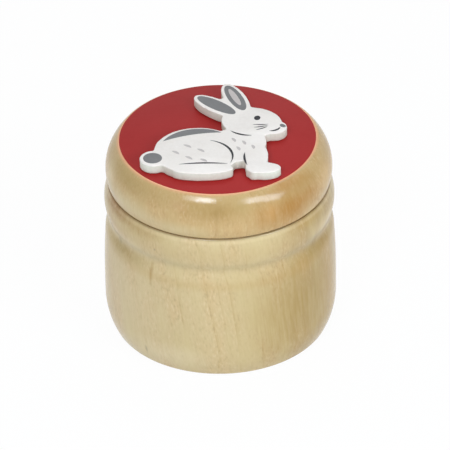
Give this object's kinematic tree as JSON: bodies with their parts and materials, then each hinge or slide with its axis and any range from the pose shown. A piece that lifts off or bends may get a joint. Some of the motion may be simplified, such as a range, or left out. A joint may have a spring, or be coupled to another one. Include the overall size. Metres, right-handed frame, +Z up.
{
  "type": "milk tooth box",
  "caption": "Small round turned-wood keepsake box for milk teeth, with a lid that plugs into the bored cup, a red painted top and a flat rabbit figure glued on it.",
  "frame": {"origin": "centre of the face that the cup stands on", "axes": "+Z up along the turning axis, +X towards the rabbit's nose, -Y towards the rabbit's feet, which is the side that the picture looks from"},
  "size_m": [0.045, 0.045, 0.0428],
  "materials": {
    "lacquered_wood": "pale turned hardwood under clear satin lacquer",
    "red_paint": "thin satin acrylic paint on wood",
    "painted_plywood": "white painted plywood with grey and black print"
  },
  "bodies": {
    "cup": {"box_body": "lacquered_wood"},
    "lid_assembly": {"lid": "lacquered_wood", "top_paint": "red_paint", "rabbit_cutout": "painted_plywood"}
  },
  "joints": [
    {"name": "lid_lift", "type": "slide", "parent": "cup", "child": "lid_assembly", "axis": [0, 0, 1], "range_m": [0, 0.03]}
  ]
}
